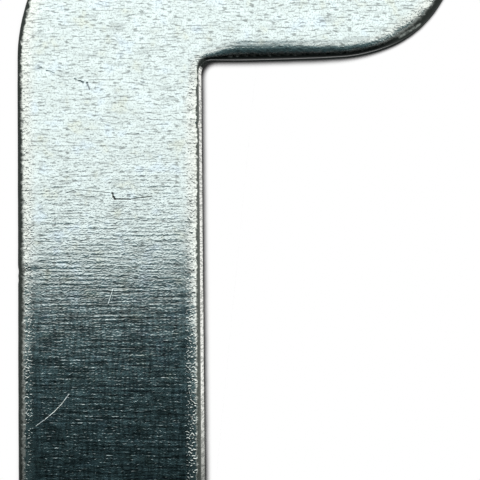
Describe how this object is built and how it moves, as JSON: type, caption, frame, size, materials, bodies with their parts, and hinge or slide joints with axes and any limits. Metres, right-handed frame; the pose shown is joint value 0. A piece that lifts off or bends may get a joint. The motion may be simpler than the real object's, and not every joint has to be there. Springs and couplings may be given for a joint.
{
  "type": "shelf clip",
  "caption": "Flat L-shaped steel clip: the leg stands behind a slotted upright, and the arm comes out through the slot to carry a shelf.",
  "frame": {"origin": "middle of the back face's bounding rectangle", "axes": "+X along the arm to the toe, +Y along the leg to the arm, +Z out of the front face, which is rolled over at its edges"},
  "size_m": [0.0306, 0.0508, 0.003],
  "materials": {
    "zinc_plated_steel": "bright zinc plate over lightly streaked rolled steel"
  },
  "bodies": {
    "root": {"clip": "zinc_plated_steel"}
  },
  "joints": []
}
